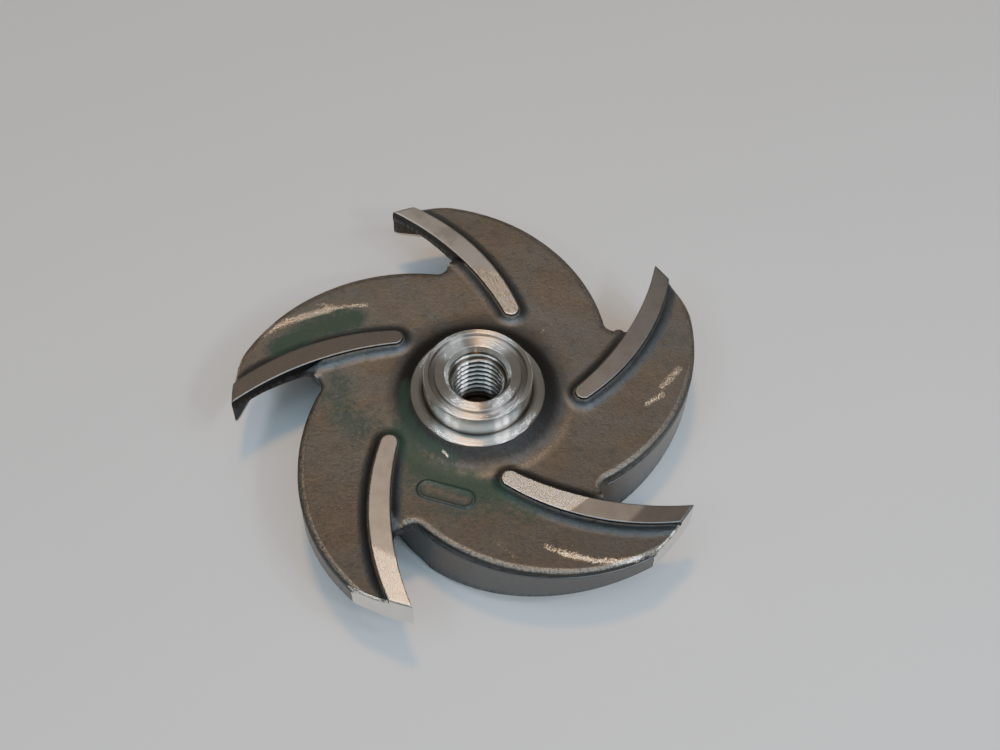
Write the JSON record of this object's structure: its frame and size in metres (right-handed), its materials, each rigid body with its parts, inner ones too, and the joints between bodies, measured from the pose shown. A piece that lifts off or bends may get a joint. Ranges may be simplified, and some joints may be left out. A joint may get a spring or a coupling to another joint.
{
  "type": "pump impeller",
  "caption": "Semi-open centrifugal pump impeller with a scalloped back shroud, curved vanes, pump-out ribs and a threaded hub.",
  "frame": {"origin": "centre of the front nose's flat end, on the shaft axis", "axes": "+Z along the shaft axis from the nose towards the hub; the part lies on its vanes with the hub up"},
  "size_m": [0.1517, 0.1557, 0.0374],
  "materials": {
    "cast_stainless": "shot-blasted casting, turned bright at the hub and rim"
  },
  "bodies": {
    "root": {"impeller": "cast_stainless"}
  },
  "joints": []
}
